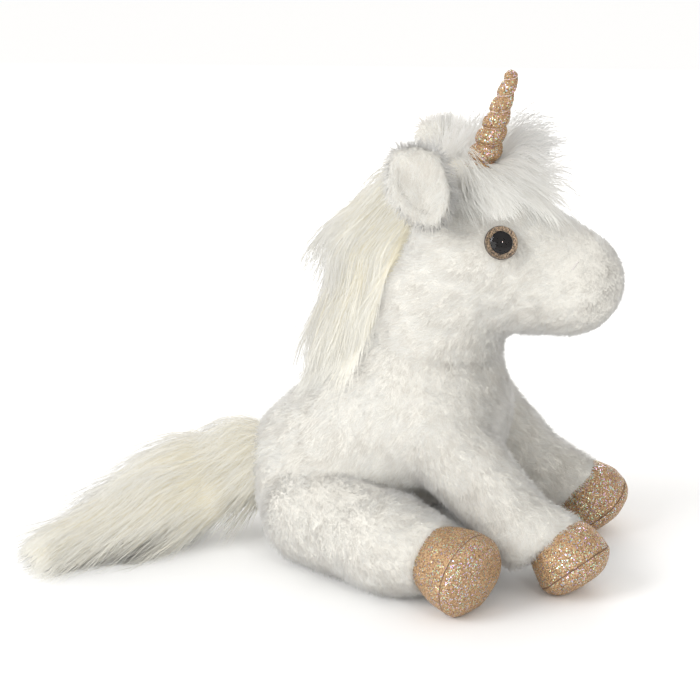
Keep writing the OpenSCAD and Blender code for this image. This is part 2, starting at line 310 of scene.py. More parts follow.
def add_piece(name, points, faces, materials, body, tints=None, normals=None):
    """A piece that rides on a body. faces holds one index array for each size of face."""
    loops = np.concatenate([f.ravel() for f in faces])
    sizes = np.concatenate([np.full(len(f), f.shape[1]) for f in faces])
    mesh = bpy.data.meshes.new(name)
    mesh.vertices.add(len(points))
    mesh.vertices.foreach_set("co", np.asarray(points, np.float32).ravel())
    mesh.loops.add(len(loops))
    mesh.loops.foreach_set("vertex_index", loops.astype(np.int32))
    mesh.polygons.add(len(sizes))
    mesh.polygons.foreach_set("loop_start", (np.cumsum(sizes) - sizes).astype(np.int32))
    mesh.polygons.foreach_set("use_smooth", np.ones(len(sizes), bool))
    for m in materials:
        mesh.materials.append(m)
    if tints is not None:
        mesh.polygons.foreach_set("material_index", np.concatenate(tints).astype(np.int32))
    mesh.update(calc_edges=True)
    if normals is not None:
        mesh.normals_split_custom_set_from_vertices(unit(normals).tolist())
    made = bpy.data.objects.new(name, mesh)
    scene.collection.objects.link(made)
    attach(made, body)
    return made


def frame_of(axis):
    """Two directions square to axis, and axis."""
    axis = unit(axis)
    helper = vec(0, 0, 1) if abs(axis[2]) < 0.9 else vec(0, 1, 0)
    across = unit(np.cross(helper, axis))
    return across, np.cross(axis, across), axis


def turned(outline, place, axis, steps=64):
    """Points and faces of an outline of (radius, height) turned about axis."""
    across, up, along = frame_of(axis)
    angle = np.arange(steps) * 2 * math.pi / steps
    round_about = np.outer(np.cos(angle), across) + np.outer(np.sin(angle), up)
    rows = [place + radius * round_about + along * height for radius, height in outline]
    return np.concatenate(rows), [grid_faces(len(outline), steps)]


def grid_faces(rows, steps):
    """Quads between rows of points that each close on themselves."""
    i, j = np.meshgrid(np.arange(rows - 1), np.arange(steps), indexing="ij")
    i, j = i.ravel(), j.ravel()
    k = (j + 1) % steps
    return np.stack([i * steps + j, i * steps + k, (i + 1) * steps + k, (i + 1) * steps + j], 1)


def tube(line, radius, steps=10):
    """Points and faces of a closed round tube along a line of points. Its ends are open."""
    line = np.asarray(line)
    along = unit(np.gradient(line, axis=0))
    across = unit(np.cross(along, vec(0.31, 0.22, 0.93)))
    up = np.cross(along, across)
    angle = np.arange(steps) * 2 * math.pi / steps
    rows = (
        line[:, None]
        + radius * np.cos(angle)[None, :, None] * across[:, None]
        + radius * np.sin(angle)[None, :, None] * up[:, None]
    )
    return rows.reshape(-1, 3), [grid_faces(len(line), steps)]


DRIFT_CELLS = 24


def drift(points, size, seed):
    """Smooth random vectors, about -1 to 1, that change over a distance of size."""
    lattice = np.random.default_rng(seed).uniform(-1, 1, (DRIFT_CELLS,) * 3 + (3,))
    q = np.asarray(points) / size + 100
    cell = np.floor(q).astype(int)
    f = q - cell
    f = f * f * (3 - 2 * f)
    total = 0
    for corner in np.ndindex(2, 2, 2):
        at = (cell + corner) % DRIFT_CELLS
        weight = np.prod(np.where(np.array(corner), f, 1 - f), axis=1)
        total = total + weight[:, None] * lattice[at[:, 0], at[:, 1], at[:, 2]]
    return total


# ---- Stuffed forms, as signed distances ---------------------------------------------------------


def capsule(a, ra, b, rb):
    """The distance from points to the hull of two balls, less than zero inside."""
    length = np.linalg.norm(b - a)
    way = (b - a) / length
    lean = (ra - rb) / length

    def distance(p):
        along = (p - a) @ way
        off = np.linalg.norm(p - a - along[:, None] * way, axis=1)
        t = np.clip((along - off * lean / math.sqrt(1 - lean**2)) / length, 0, 1)
        return np.hypot(along - t * length, off) - (ra + (rb - ra) * t)

    return distance


def panel(a, b, c, radius):
    """The distance to a flat three-cornered pad, radius thick to each side."""
    square = unit(np.cross(b - a, c - a))
    edges = [(a, b), (b, c), (c, a)]

    def distance(p):
        over = np.all([(p - s) @ np.cross(square, e - s) > 0 for s, e in edges], axis=0)
        rim = np.min([capsule(s, 0, e, 0)(p) for s, e in edges], axis=0)
        return np.where(over, np.abs((p - a) @ square), rim) - radius

    return distance


def ball(place, radius):
    """The distance to a ball."""
    return lambda p: np.linalg.norm(p - place, axis=1) - radius


def melted(forms, k):
    """The union of forms, with the creases between them filled over a width of k."""

    def distance(p):
        total = forms[0](p)
        for form in forms[1:]:
            d = form(p)
            h = np.clip(0.5 + 0.5 * (d - total) / k, 0, 1)
            total = d * (1 - h) + total * h - k * h * (1 - h)
        return total

    return distance


def cut(form, place, normal, k=0.004):
    """form without what lies beyond a plane, its edge rounded over k."""

    def distance(p):
        a, b = form(p), (p - place) @ normal
        h = np.clip(0.5 - 0.5 * (b - a) / k, 0, 1)
        return b * (1 - h) + a * h + k * h * (1 - h)

    return distance


def slope(form, p):
    """The outward direction at points p."""
    steps = SLOPE_STEP * np.eye(3)
    return unit(np.stack([form(p + d) - form(p - d) for d in steps], 1))


def settle(form, p, level=0.0, rounds=3):
    """Points p moved onto the surface where form is level."""
    for _ in range(rounds):
        p = p - (form(p) - level)[:, None] * slope(form, p)
    return p


EVENING_ROUNDS = 4
SLOPE_STEP = 0.0005


def skin_of(form, low, high, step=0.004):
    """The surface of a form: a net of quads with one point in each cell of a grid that it crosses."""
    counts = np.ceil((high - low) / step).astype(int) + 1
    steps = np.stack(np.meshgrid(*[np.arange(n) for n in counts], indexing="ij"), -1)
    depth = form((low + step * steps).reshape(-1, 3)).reshape(counts)
    inside = depth < 0
    corners = sum(
        inside[x : counts[0] - 1 + x, y : counts[1] - 1 + y, z : counts[2] - 1 + z].astype(int)
        for x, y, z in np.ndindex(2, 2, 2)
    )
    mixed = (corners > 0) & (corners < 8)  # the cells that the surface crosses
    index = np.full(counts - 1, -1)
    index[mixed] = np.arange(mixed.sum())
    total, count = np.zeros((mixed.sum(), 3)), np.zeros(mixed.sum())
    quads = []
    for a in range(3):
        b, c = (a + 1) % 3, (a + 2) % 3
        near_end, far_end = np.take(depth, range(counts[a] - 1), a), np.take(depth, range(1, counts[a]), a)
        leaving, entering = (near_end < 0) & (far_end >= 0), (near_end >= 0) & (far_end < 0)
        for edge, order in ((leaving, 1), (entering, -1)):
            at = np.argwhere(edge)
            share = near_end[edge] / (near_end[edge] - far_end[edge])
            crossing = at + share[:, None] * np.eye(3)[a]
            ring = []
            for db, dc in ((-1, -1), (0, -1), (0, 0), (-1, 0))[::order]:
                cell = at.copy()
                cell[:, b] += db
                cell[:, c] += dc
                ring.append(index[cell[:, 0], cell[:, 1], cell[:, 2]])
                np.add.at(total, ring[-1], crossing)
                np.add.at(count, ring[-1], 1)
            quads.append(np.stack(ring, 1))
    quads = np.concatenate(quads)
    assert quads.min() >= 0, "the form reaches the edge of its grid"
    points = settle(form, low + step * total / count[:, None])
    for _ in range(EVENING_ROUNDS):
        points = settle(form, evened(points, quads), rounds=1)
    return points, quads


def evened(points, quads):
    """Each point moved to the middle of its neighbours."""
    total, count = np.zeros_like(points), np.zeros(len(points))
    for i in range(4):
        a, b = quads[:, i], quads[:, (i + 1) % 4]
        np.add.at(total, a, points[b])
        np.add.at(total, b, points[a])
        np.add.at(count, a, 1)
        np.add.at(count, b, 1)
    return total / count[:, None]


# ---- Pile and hair ------------------------------------------------------------------------------


def scattered(points, quads, spacing, rng, wanted=None):
    """Random places on a skin, about one in each square of side spacing. wanted(p) is the share kept."""
    a, b, c, d = (points[quads[:, i]] for i in range(4))
    area = np.linalg.norm(np.cross(c - a, d - b), axis=1) / 2
    count = int(area.sum() / spacing**2)
    pick = rng.choice(len(quads), count, p=area / area.sum())
    u, v = rng.random((count, 1)), rng.random((count, 1))
    at = (a[pick] * (1 - u) + b[pick] * u) * (1 - v) + (d[pick] * (1 - u) + c[pick] * u) * v
    if wanted is not None:
        at = at[rng.random(count) < wanted(at)]
    return at


FLOOR_GAP = 0.0008  # the lowest that a fibre lies
PILE_PER_PIECE = 60000
ROOT_DEPTH = 0.0006


def strands(lines, outward, width, spin, tint):
    """Points, faces, tints and normals of three-sided fibres that taper to a tip.
    lines is fibres x points x 3. Every face of a fibre is shaded as the coat below it is."""
    n, m, _ = lines.shape
    lines = lines.copy()
    lines[..., 2] = np.maximum(lines[..., 2], FLOOR_GAP)
    along = unit(np.gradient(lines, axis=1))
    side = unit(np.cross(along, outward))
    face = np.cross(side, along)
    rings = []
    for corner in range(3):
        angle = (spin + corner * 2 * math.pi / 3)[:, None, None]
        taper = (1 - 0.75 * np.linspace(0, 1, m)[:-1] ** 2)[None, :, None] * width / 2
        rings.append(lines[:, :-1] + (face * np.cos(angle) + side * np.sin(angle))[:, :-1] * taper)
    body = np.stack(rings, 2).reshape(n, -1, 3)
    points = np.concatenate([body, lines[:, -1:]], 1)
    base = (np.arange(n) * points.shape[1])[:, None]
    quads, tips, shades = [], [], []
    for i in range(m - 1):
        for k in range(3):
            a, b = 3 * i + k, 3 * i + (k + 1) % 3
            if i < m - 2:
                quads.append(base + np.array([[a, b, b + 3, a + 3]]))
                shades.append(tint(i / max(m - 2, 1)))
            else:
                tips.append(base + np.array([[a, b, 3 * (m - 1)]]))
    shades += [tint(1.0)] * 3
    faces = ([np.concatenate(quads)] if quads else []) + [np.concatenate(tips)]
    normals = np.concatenate([np.repeat(outward[:, :-1], 3, axis=1), outward[:, -1:]], 1)
    return points.reshape(-1, 3), faces, shades, normals.reshape(-1, 3)


def pale(piece):
    """White fibres let the light through, so they throw no shadow on each other."""
    piece.visible_shadow = False


def pile(
    name,
    form,
    skin,
    body,
    comb,
    seed,
    length=0.0056,
    spacing=0.0008,
    wanted=None,
    short=None,
    materials=None,
    slot="white_plush",
    width=0.00042,
    glow=0.0,
):
    """Short plush pile over a skin: fine leaning fibres that gather in small clumps.
    comb(p) is the way the pile is brushed, short(p) the share of its full length, and
    glow turns its shading toward the sky."""
    rng = np.random.default_rng(seed)
    materials = materials or PILE
    roots = scattered(*skin, spacing, rng, wanted)
    n = len(roots)
    out = slope(form, roots)
    clump = drift(roots, 0.006, seed) + 0.6 * drift(roots, 0.016, seed + 1)
    way = unit(comb(roots)) + 0.55 * clump + 0.30 * rng.normal(size=(n, 3))
    way = unit(way - (way * out).sum(1, keepdims=True) * out)
    lift = np.clip(0.62 + 0.25 * clump[:, 0] + 0.18 * rng.normal(size=n), 0.2, 1.3)[:, None]
    size = length * rng.uniform(0.65, 1.1, n) * (1 + 0.15 * clump[:, 1])
    if short is not None:
        size = size * short(roots)
    start = roots - out * ROOT_DEPTH
    lines = np.stack([start, start + (way * np.cos(lift) + out * np.sin(lift)) * size[:, None]], 1)
    soft = out + 0.22 * clump + 0.08 * rng.normal(size=(n, 3)) + vec(0, 0, glow)
    outward = unit(np.stack([soft, soft + 0.6 * unit(lines[:, 1] - lines[:, 0])], 1))
    # Painted shade: each fibre takes a darker or paler tint by its clump and at random, in place of the
    # shadows that the fibres don't throw.
    shade = (0.5 + 0.5 * clump[:, 2] + 0.35 * rng.normal(size=n)) * len(materials)
    shade = np.clip(shade, 0, len(materials) - 1)
    spin = rng.uniform(0, 2, n)
    parts = math.ceil(n / PILE_PER_PIECE)
    for part in range(parts):
        pick = slice(part, n, parts)
        made = strands(lines[pick], outward[pick], width, spin[pick], lambda t: shade[pick].astype(int))
        pale(add_piece(f"{name}_{part + 1}", made[0], made[1], materials, body, made[2], made[3]))


HAIR_PER_PIECE = 4500


def hair(
    name,
    roots,
    flow,
    body,
    seed,
    length,
    keep_out=(),
    core=None,
    width=0.00042,
    links=7,
    wave=0.30,
    slot="long_hair",
    materials=None,
    glow=0.3,
):
    """Long hair from roots. flow(p, t) is the way that it runs, at share t of its length; keep_out is the
    forms that it lies on, core(p) the way outward from the middle of the whole hank, and glow turns its
    shading toward the sky."""
    rng = np.random.default_rng(seed)
    materials = materials or HAIR
    n = len(roots)
    size = length * (0.40 + 0.70 * rng.random(n) ** 1.7)
    lock = drift(roots, 0.010, seed)
    own = rng.normal(size=(n, 3))
    p = roots.copy()
    lines = [p]
    for i in range(links):
        t = (i + 0.5) / links
        bend = 0.8 * lock + 0.7 * drift(p, 0.022, seed + 2) + 0.30 * own * (0.4 + t)
        way = unit(flow(p, t)) + wave * bend
        p = p + unit(way) * (size / links)[:, None]
        for form, clearance in keep_out:
            d = form(p)
            low = d < clearance
            if low.any():
                p[low] += (clearance - d[low])[:, None] * slope(form, p[low])
        lines.append(p)
    lines = np.stack(lines, 1)
    outward = np.stack([core(lines[:, i]) for i in range(links + 1)], 1)
    outward = unit(outward + 0.30 * lock[:, None] + vec(0, 0, glow))
    # Painted shade: tints run from darker at the root to pale at the tip, each strand moved along by its
    # lock and at random.
    shade = 0.25 * (rng.random(n) + 0.5 * lock[:, 0] - 0.5)
    spin = rng.uniform(0, 2, n)
    order = rng.permutation(n)
    for part in range(math.ceil(n / HAIR_PER_PIECE)):
        pick = order[part * HAIR_PER_PIECE : (part + 1) * HAIR_PER_PIECE]
        made = strands(
            lines[pick], outward[pick], width, spin[pick],
            lambda t: np.clip((t + shade[pick]) * len(materials), 0, len(materials) - 1).astype(int),
        )
        pale(add_piece(f"{name}_{part + 1}", made[0], made[1], materials, body, made[2], made[3]))


# ---- The body's plan, as in the frame, drawn in by the depth of the pile -------------------------

PILE_DEPTH = 0.0032
SIDES = (("left", 1), ("right", -1))


def mirror(p, side):
    """A place on the left, or its twin on the right where side is -1."""
    return p * np.array([side, 1, 1])


CHEST = vec(0, -0.0485, 0.088)
RUMP = vec(0, 0.0055, 0.046)
SKULL = vec(0, -0.0825, 0.181)
MUZZLE = vec(0, -0.1335, 0.168)
NECK_AXIS = vec(0, -0.1908, 0.9816)
HIP = vec(0.0395, 0.004, 0.0315)
KNEE = vec(0.0705, -0.0455, 0.0283)
HOCK = vec(0.0825, -0.0745, 0.0276)
HIND_AXIS = unit(vec(0.48, -0.86, -0.16))
SHOULDER = vec(0.038, -0.0685, 0.082)
FETLOCK = vec(0.0455, -0.1165, 0.033)
PASTERN = vec(0.0455, -0.1365, 0.0294)
FORE_AXIS = unit(vec(0.2, -0.62, -0.758))
TAIL_ROOT = vec(0, 0.0495, 0.041)
TAIL_BEND = vec(-0.024, 0.086, 0.0332)
TAIL_END = vec(-0.088, 0.1515, 0.0152)


def stuffed(a, ra, b, rb, inset=PILE_DEPTH):
    """A stuffed limb or trunk between two balls, drawn in so that its pile ends at the plan."""
    return capsule(a, ra - inset, b, rb - inset)


def on_floor(form, inset=0.0012):
    """A form pressed flat where it rests on the floor."""
    return cut(form, vec(0, 0, inset), vec(0, 0, -1), 0.006)


TORSO = on_floor(
    melted(
        [
            melted(
                [
                    stuffed(CHEST, 0.055, RUMP, 0.050),
                    *[ball(mirror(SHOULDER, side), 0.0225) for name, side in SIDES],
                    *[ball(mirror(HIP, side), 0.028) for name, side in SIDES],
                ],
                0.022,
            ),
            capsule(CHEST + NECK_AXIS * 0.025, 0.0355, CHEST + NECK_AXIS * 0.042, 0.0345),
        ],
        0.014,
    )
)
HEAD = melted(
    [
        stuffed(SKULL, 0.046, MUZZLE, 0.033),
        stuffed(CHEST + NECK_AXIS * 0.030, 0.0415, CHEST + NECK_AXIS * 0.066, 0.0415),
    ],
    0.010,
)


def hind_leg(side):
    """Thigh and shank, cut flat where the hoof is sewn on."""
    form = melted(
        [
            stuffed(mirror(HIP, side), 0.034, mirror(KNEE, side), 0.029),
            stuffed(mirror(KNEE, side), 0.028, mirror(HOCK, side), 0.0236),
        ],
        0.010,
    )
    return cut(on_floor(form), mirror(HOCK, side), mirror(HIND_AXIS, side))


def foreleg(side):
    """Upper leg and pastern, cut flat where the hoof is sewn on."""
    form = melted(
        [
            stuffed(mirror(SHOULDER, side), 0.028, mirror(FETLOCK, side), 0.022),
            stuffed(mirror(FETLOCK, side), 0.021, mirror(PASTERN, side), 0.0188),
        ],
        0.010,
    )
    return cut(on_floor(form), mirror(PASTERN, side), mirror(FORE_AXIS, side))


def box_round(*nodes, margin=0.05):
    """The corners of a box round CAD nodes, with room for the grid of a form."""
    low = np.min([np.array(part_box(n)[0]) for n in nodes], axis=0) - margin
    high = np.max([np.array(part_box(n)[1]) for n in nodes], axis=0) + margin
    return low, high


def brushed(direction):
    """A comb that runs one way everywhere."""
    return lambda p: np.broadcast_to(direction, p.shape)


def add_plush(name, form, replaced, body, comb, seed, step=0.004, **options):
    """A stuffed body: its skin, which stands for its CAD cover and fill, and its pile."""
    skin = skin_of(form, *box_round(replaced[0]), step=step)
    cover = add_piece(f"{name}_skin", skin[0], [skin[1]], [BACKING], body)
    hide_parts(*replaced)
    pile(f"{name}_pile", form, skin, body, comb, seed, **options)


# ---- Torso and legs -------------------------------------------------------------------------------


UNDERSIDE = 0.003


def seen_outside(form, depth):
    """Keeps the pile that shows: not deep inside another form, and not under the toy."""
    return lambda p: ((form(p) > -depth) & (p[:, 2] > UNDERSIDE)).astype(float)


def add_torso():
    add_plush(
        "torso",
        TORSO,
        ["torso_cover", "torso_stuffing"],
        "torso",
        brushed(vec(0, 0.25, -1)),
        seed=11,
        wanted=seen_outside(HEAD, 0.012),
    )


def add_leg(body, form, way, seed):
    add_plush(
        body,
        form,
        [f"{body}_cover", f"{body}_stuffing"],
        body,
        brushed(way),
        seed,
        wanted=seen_outside(TORSO, 0.014),
    )


def add_legs():
    for name, side in SIDES:
        along = mirror(unit(HOCK - HIP), side)
        add_leg(f"{name}_hind_leg", hind_leg(side), along + vec(0, 0, -0.5), 21 + side)
        down = mirror(unit(FETLOCK - SHOULDER), side)
        add_leg(f"{name}_foreleg", foreleg(side), down + vec(0, 0, -0.2), 31 + side)


def hoof_outline(depth, radius):
    """The cup, from inside the leg to the rim, and the sole, from the rim to its middle."""
    bulge = [
        (0.55, -0.35), (0.74, -0.12), (0.85, 0.08), (0.93, 0.32), (0.975, 0.58),
        (1.0, 0.82), (1.0, 0.94), (0.985, 1.0), (0.95, 1.01),
    ]
    dome = [
        (0.95, 0.0), (0.985, 0.0), (1.0, 0.03), (0.985, 0.10), (0.92, 0.21),
        (0.80, 0.33), (0.62, 0.425), (0.40, 0.475), (0.18, 0.495), (0.0, 0.5),
    ]
    cup = [(radius * r, depth * h) for r, h in bulge]
    sole = [(radius * r, depth + radius * h) for r, h in dome]
    return cup, sole


def rounded(outline, times=2):
    """An outline with its corners cut, times over."""
    for _ in range(times):
        out = [outline[0]]
        for (r1, h1), (r2, h2) in zip(outline, outline[1:]):
            out.append((r1 * 0.75 + r2 * 0.25, h1 * 0.75 + h2 * 0.25))
            out.append((r1 * 0.25 + r2 * 0.75, h1 * 0.25 + h2 * 0.75))
        outline = out + [outline[-1]]
    return outline


def creased(points, seed):
    """Points of stuffed glitter cloth, moved by soft wrinkles."""
    return points + 0.0007 * drift(points, 0.011, seed)


def rested(points, gap):
    """Points pressed flat against the floor."""
    points[:, 2] = np.maximum(points[:, 2], gap)
    return points


def add_hoof(name, ankle, axis, depth, radius, body):
    """A cup and a domed sole of glitter cloth, with the seam between them."""
    place = ankle + axis * 0.0004
    for part, outline in zip(("cup", "sole"), hoof_outline(depth, radius)):
        points, faces = turned(rounded(outline), place, axis, steps=96)
        fine = 0.00025 * drift(points, 0.0035, 5)
        points = rested(creased(points, len(name)) + fine, 0.0004)
        piece = add_piece(f"{name}_{part}_cloth", points, faces, [GLITTER], body)
        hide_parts(f"{name}_{part}")
    across, up, along = frame_of(axis)
    turn = np.linspace(0, 2 * math.pi, 181)
    stitches = 60
    reach = radius * 0.982 + 0.00010 * np.sin(turn * stitches)
    ring = np.outer(reach * np.cos(turn), across) + np.outer(reach * np.sin(turn), up)
    ring = rested(creased(place + ring + along * (depth + 0.0001), len(name)), 0.0008)
    points, faces = tube(ring, 0.0004)
    add_piece(f"{name}_seam", points, faces, [SEAM_THREAD], body)


HIND_CUP_DEPTH, HIND_HOOF_RADIUS = 0.022, 0.024
FORE_CUP_DEPTH, FORE_HOOF_RADIUS = 0.018, 0.02225


def add_hooves():
    for name, side in SIDES:
        hock, hind_axis = mirror(HOCK, side), mirror(HIND_AXIS, side)
        add_hoof(
            f"{name}_hind_hoof", hock, hind_axis, HIND_CUP_DEPTH, HIND_HOOF_RADIUS, f"{name}_hind_leg"
        )
        pastern, fore_axis = mirror(PASTERN, side), mirror(FORE_AXIS, side)
        add_hoof(
            f"{name}_fore_hoof", pastern, fore_axis, FORE_CUP_DEPTH, FORE_HOOF_RADIUS, f"{name}_foreleg"
        )


# ---- Head ---------------------------------------------------------------------------------------

EYE_AXIS = unit(vec(0.847, -0.355, 0.396))
EYE_RADIUS = 0.009
EYES = {name: mirror(vec(0.0387, -0.100, 0.1983), side) for name, side in SIDES}
NOSTRILS = {name: middle(f"{name}_nostril_stitch") for name, side in SIDES}


def near(p, places, radius, soft=0.003):
    """1 at points close to any of the places, 0 beyond radius."""
    best = np.min([np.linalg.norm(p - q, axis=1) for q in places], axis=0)
    return np.clip((radius + soft - best) / soft, 0, 1)


def add_head():
    eyes, nostrils = list(EYES.values()), list(NOSTRILS.values())

    def comb(p):
        """Brushed back from the nose, and away from each eye."""
        way = np.broadcast_to(vec(0, 0.9, -0.45), p.shape).copy()
        for eye in eyes:
            away = p - eye
            far = np.linalg.norm(away, axis=1, keepdims=True)
            way += away / np.maximum(far, 1e-6) * np.clip(2.2 - far / EYE_RADIUS, 0, 2)
        return way

    def wanted(p):
        return ((TORSO(p) > -0.004) & (near(p, eyes, 0.0085, 0.0005) < 0.5)).astype(float)

    def short(p):
        """Shorter over the muzzle and round the nostrils."""
        muzzle = np.clip((-0.118 - p[:, 1]) / 0.03, 0, 1)
        return 1 - 0.35 * muzzle - 0.45 * near(p, nostrils, 0.003, 0.004)

    covered = ["head_cover", "head_stuffing"]
    add_plush("head", HEAD, covered, "head", comb, seed=41, wanted=wanted, short=short)


def add_eyes():
    """A clear dome over the CAD iris and pupil, and a thin dark ring: the edge of the eye's backing, which
    is also painted shade where the pile meets the eye.
    """
    for name, side in SIDES:
        axis = mirror(EYE_AXIS, side)
        place = EYES[name] - 0.001 * axis
        cap = [
            (EYE_RADIUS * 1.03 * math.cos(a), 0.0012 + EYE_RADIUS * 0.70 * math.sin(a))
            for a in np.linspace(0, math.pi / 2, 20)
        ]
        outline = [(0.0, 0.0011), (EYE_RADIUS * 0.9, 0.0011)] + cap
        points, faces = turned(outline, place, axis)
        dome = add_piece(f"{name}_eye_clear_dome", points, faces, [CLEAR], "head")
        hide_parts(f"{name}_eye_dome")
        # The dark ring round the dome: the backing's edge, and painted shade from the pile round the eye.
        across, up, along = frame_of(axis)
        turn = np.linspace(0, 2 * math.pi, 97)
        ring = place + EYE_RADIUS * 1.01 * (np.outer(np.cos(turn), across) + np.outer(np.sin(turn), up))
        points, faces = tube(ring + along * 0.0011, 0.00035, 8)
        add_piece(f"{name}_eye_rim_and_shade", points, faces, [BROWN], "head")
        for node, made in (("iris", IRIS), ("pupil", BLACK), ("washer", WHITE)):
            repaint(f"{name}_eye_{node}", made)


def repaint(node, made):
    """A CAD node keeps its shape and takes a better material."""
    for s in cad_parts[node].material_slots:
        s.link = "OBJECT"
        s.material = made


HORN_LEAN = math.radians(17.5)
HORN_FOOT = vec(0, -0.0815, 0.231)
HORN_AXIS = unit(vec(0, -math.sin(HORN_LEAN), math.cos(HORN_LEAN)))
HORN_LENGTH = 0.058
HORN_RADIUS = 0.0095
HORN_TIP_SHARE = 0.37
HORN_TURNS = 6


def horn_radius(h):
    """The horn's radius at share h of its length, before the bulges."""
    return HORN_RADIUS * (1 - (1 - HORN_TIP_SHARE) * h)


def add_horn():
    """A padded cone that bulges between the turns of its winding thread."""
    across, up, along = frame_of(HORN_AXIS)
    rows, steps = 180, 64
    angle = np.arange(steps) * 2 * math.pi / steps
    points = []
    for h in np.linspace(-0.05, 1, rows):
        phase = (HORN_TURNS * h - angle / (2 * math.pi)) % 1
        bulge = np.sqrt(np.clip(1 - (2 * phase - 1) ** 2, 0, 1))
        end = np.clip((1 - h) * HORN_LENGTH / (HORN_RADIUS * HORN_TIP_SHARE), 0, 1)
        r = horn_radius(max(h, 0)) * (0.70 + 0.38 * bulge) * math.sqrt(max(1 - (1 - end) ** 2, 0))
        ring = np.outer(r * np.cos(angle), across) + np.outer(r * np.sin(angle), up)
        points.append(HORN_FOOT + ring + along * h * HORN_LENGTH)
    points = np.concatenate(points)
    points = points + 0.0003 * drift(points, 0.004, 3)
    cloth = add_piece("horn_cloth", points, [grid_faces(rows, steps)], [GLITTER], "head")
    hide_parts("horn_cover", "horn_stuffing")
    h = np.linspace(0, 0.97, 500)
    turn = 2 * math.pi * HORN_TURNS * h
    groove = 0.745 * horn_radius(h)
    line = (
        HORN_FOOT
        + np.outer(groove * np.cos(turn), across)
        + np.outer(groove * np.sin(turn), up)
        + np.outer(h * HORN_LENGTH, along)
    )
    points, faces = tube(line, 0.0004, 8)
    thread = add_piece("horn_thread", points, faces, [WINDING], "head")
    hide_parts("horn_winding_thread")


# ---- Ears ---------------------------------------------------------------------------------------

EAR_ROOT = vec(0.023, -0.060, 0.214)
EAR_CREST = [vec(0.037, -0.0425, 0.243), vec(0.039, -0.0625, 0.243)]
EAR_EDGE = [vec(0.051, -0.0425, 0.226), vec(0.054, -0.0725, 0.224), vec(0.054, -0.0625, 0.212)]
LINING_CORNERS = [
    vec(0.0356, -0.0525, 0.2365),
    vec(0.0446, -0.0465, 0.2245),
    vec(0.0466, -0.0685, 0.2215),
    vec(0.0466, -0.0615, 0.2125),
]


def rounded_loop(points, times=2):
    """A closed outline in space with its corners cut, times over."""
    for _ in range(times):
        ahead = np.roll(points, -1, axis=0)
        points = np.stack([points * 0.75 + ahead * 0.25, points * 0.25 + ahead * 0.75], 1).reshape(-1, 3)
    return points


def ear_form(side):
    """A leaf on a short stalk that bends over at its crest: a thick rounded rim and a thinner middle."""
    root = mirror(EAR_ROOT, side)
    back, front = (mirror(p, side) for p in EAR_CREST)
    high, wide, low = (mirror(p, side) for p in EAR_EDGE)
    corners = np.array([back, high, low, wide, front])
    heart = corners.mean(0) + vec(-0.0025 * side, 0, -0.001)
    rim = rounded_loop(heart + (corners - heart) * 1.07)
    ahead = np.roll(rim, -1, axis=0)
    forms = [capsule(a, 0.0034, b, 0.0034) for a, b in zip(rim, ahead)]
    forms += [panel(heart, a, b, 0.0024) for a, b in zip(rim, ahead)]

    def leaf(p):
        return np.min([form(p) for form in forms], axis=0)

    stalk = capsule(root, 0.0050, (back + front) / 2, 0.0046)
    return melted([leaf, stalk, panel(root, back, front, 0.0034)], 0.005)


def add_ears():
    for side_name, side in SIDES:
        body = f"{side_name}_ear"
        down = mirror(EAR_EDGE[2], side) - mirror(EAR_ROOT, side)
        a, b, c, d = (mirror(p, side) for p in LINING_CORNERS)
        pad = melted([panel(a, b, c, 0.0018), panel(b, c, d, 0.0018)], 0.002)
        add_plush(
            body,
            ear_form(side),
            [f"{body}_plush"],
            body,
            brushed(down + vec(0, 0, -0.01)),
            seed=51 + side,
            step=0.0025,
            length=0.0095,
            spacing=0.0007,
            glow=0.7,
            wanted=lambda p: (pad(p) > 0.0022).astype(float),
        )
        skin = skin_of(pad, *box_round(f"{body}_lining"), step=0.002)
        cover = add_piece(f"{body}_lining_cloth", skin[0], [skin[1]], [LINING], body)
        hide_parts(f"{side_name}_ear_lining")
        pile(
            f"{body}_lining_nap",
            pad,
            skin,
            body,
            brushed(down),
            seed=55 + side,
            length=0.0042,
            materials=NAP,
            slot="ear_lining",
            width=0.0004,
        )


# ---- Mane, forelock and tail ----------------------------------------------------------------------


def away_from(line):
    """The way outward from the nearest place on a chain of points."""
    line = [np.asarray(p) for p in line]

    def way(p):
        best, out = np.full(len(p), np.inf), np.zeros_like(p)
        for a, b in zip(line, line[1:]):
            t = np.clip(((p - a) @ (b - a)) / ((b - a) @ (b - a)), 0, 1)
            gap = p - (a + t[:, None] * (b - a))
            far = np.linalg.norm(gap, axis=1)
            out = np.where((far < best)[:, None], gap, out)
            best = np.minimum(best, far)
        return unit(out)

    return way


def along_chain(line):
    """The way along a chain of points, turned smoothly from each stretch to the next."""
    line = [np.asarray(q, float) for q in line]
    middles = np.array([(a + b) / 2 for a, b in zip(line, line[1:])])
    ways = unit(np.array([b - a for a, b in zip(line, line[1:])]))

    def way(p):
        far = np.linalg.norm(p[:, None] - middles, axis=2)
        share = 1 / np.maximum(far, 0.002) ** 3
        return unit((share[:, :, None] * ways).sum(1))

    return way


def add_hair_mass(
    name, form, node, body, flow, core, seed, length, spacing, keep_out=(), reach=None, **options
):
    """A hank of long hair: the bulk of it as one soft core, and strands rooted all over the core.
    reach(p) is the share of length that a strand rooted at p has."""
    skin = skin_of(form, *box_round(node), step=0.004)
    bulk = add_piece(f"{name}_core", skin[0], [skin[1]], [HAIR_BACKING], body)
    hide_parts(node)
    rng = np.random.default_rng(seed)
    roots = scattered(*skin, spacing, rng, lambda p: (p[:, 2] > UNDERSIDE).astype(float))
    size = length * (reach(roots) if reach else 1)
    out = slope(form, roots)
    hair(f"{name}_hair", roots, lambda p, t: flow(p, t, out), body, seed + 1, size,
         keep_out=[(form, 0.0008), *keep_out], core=core, **options)


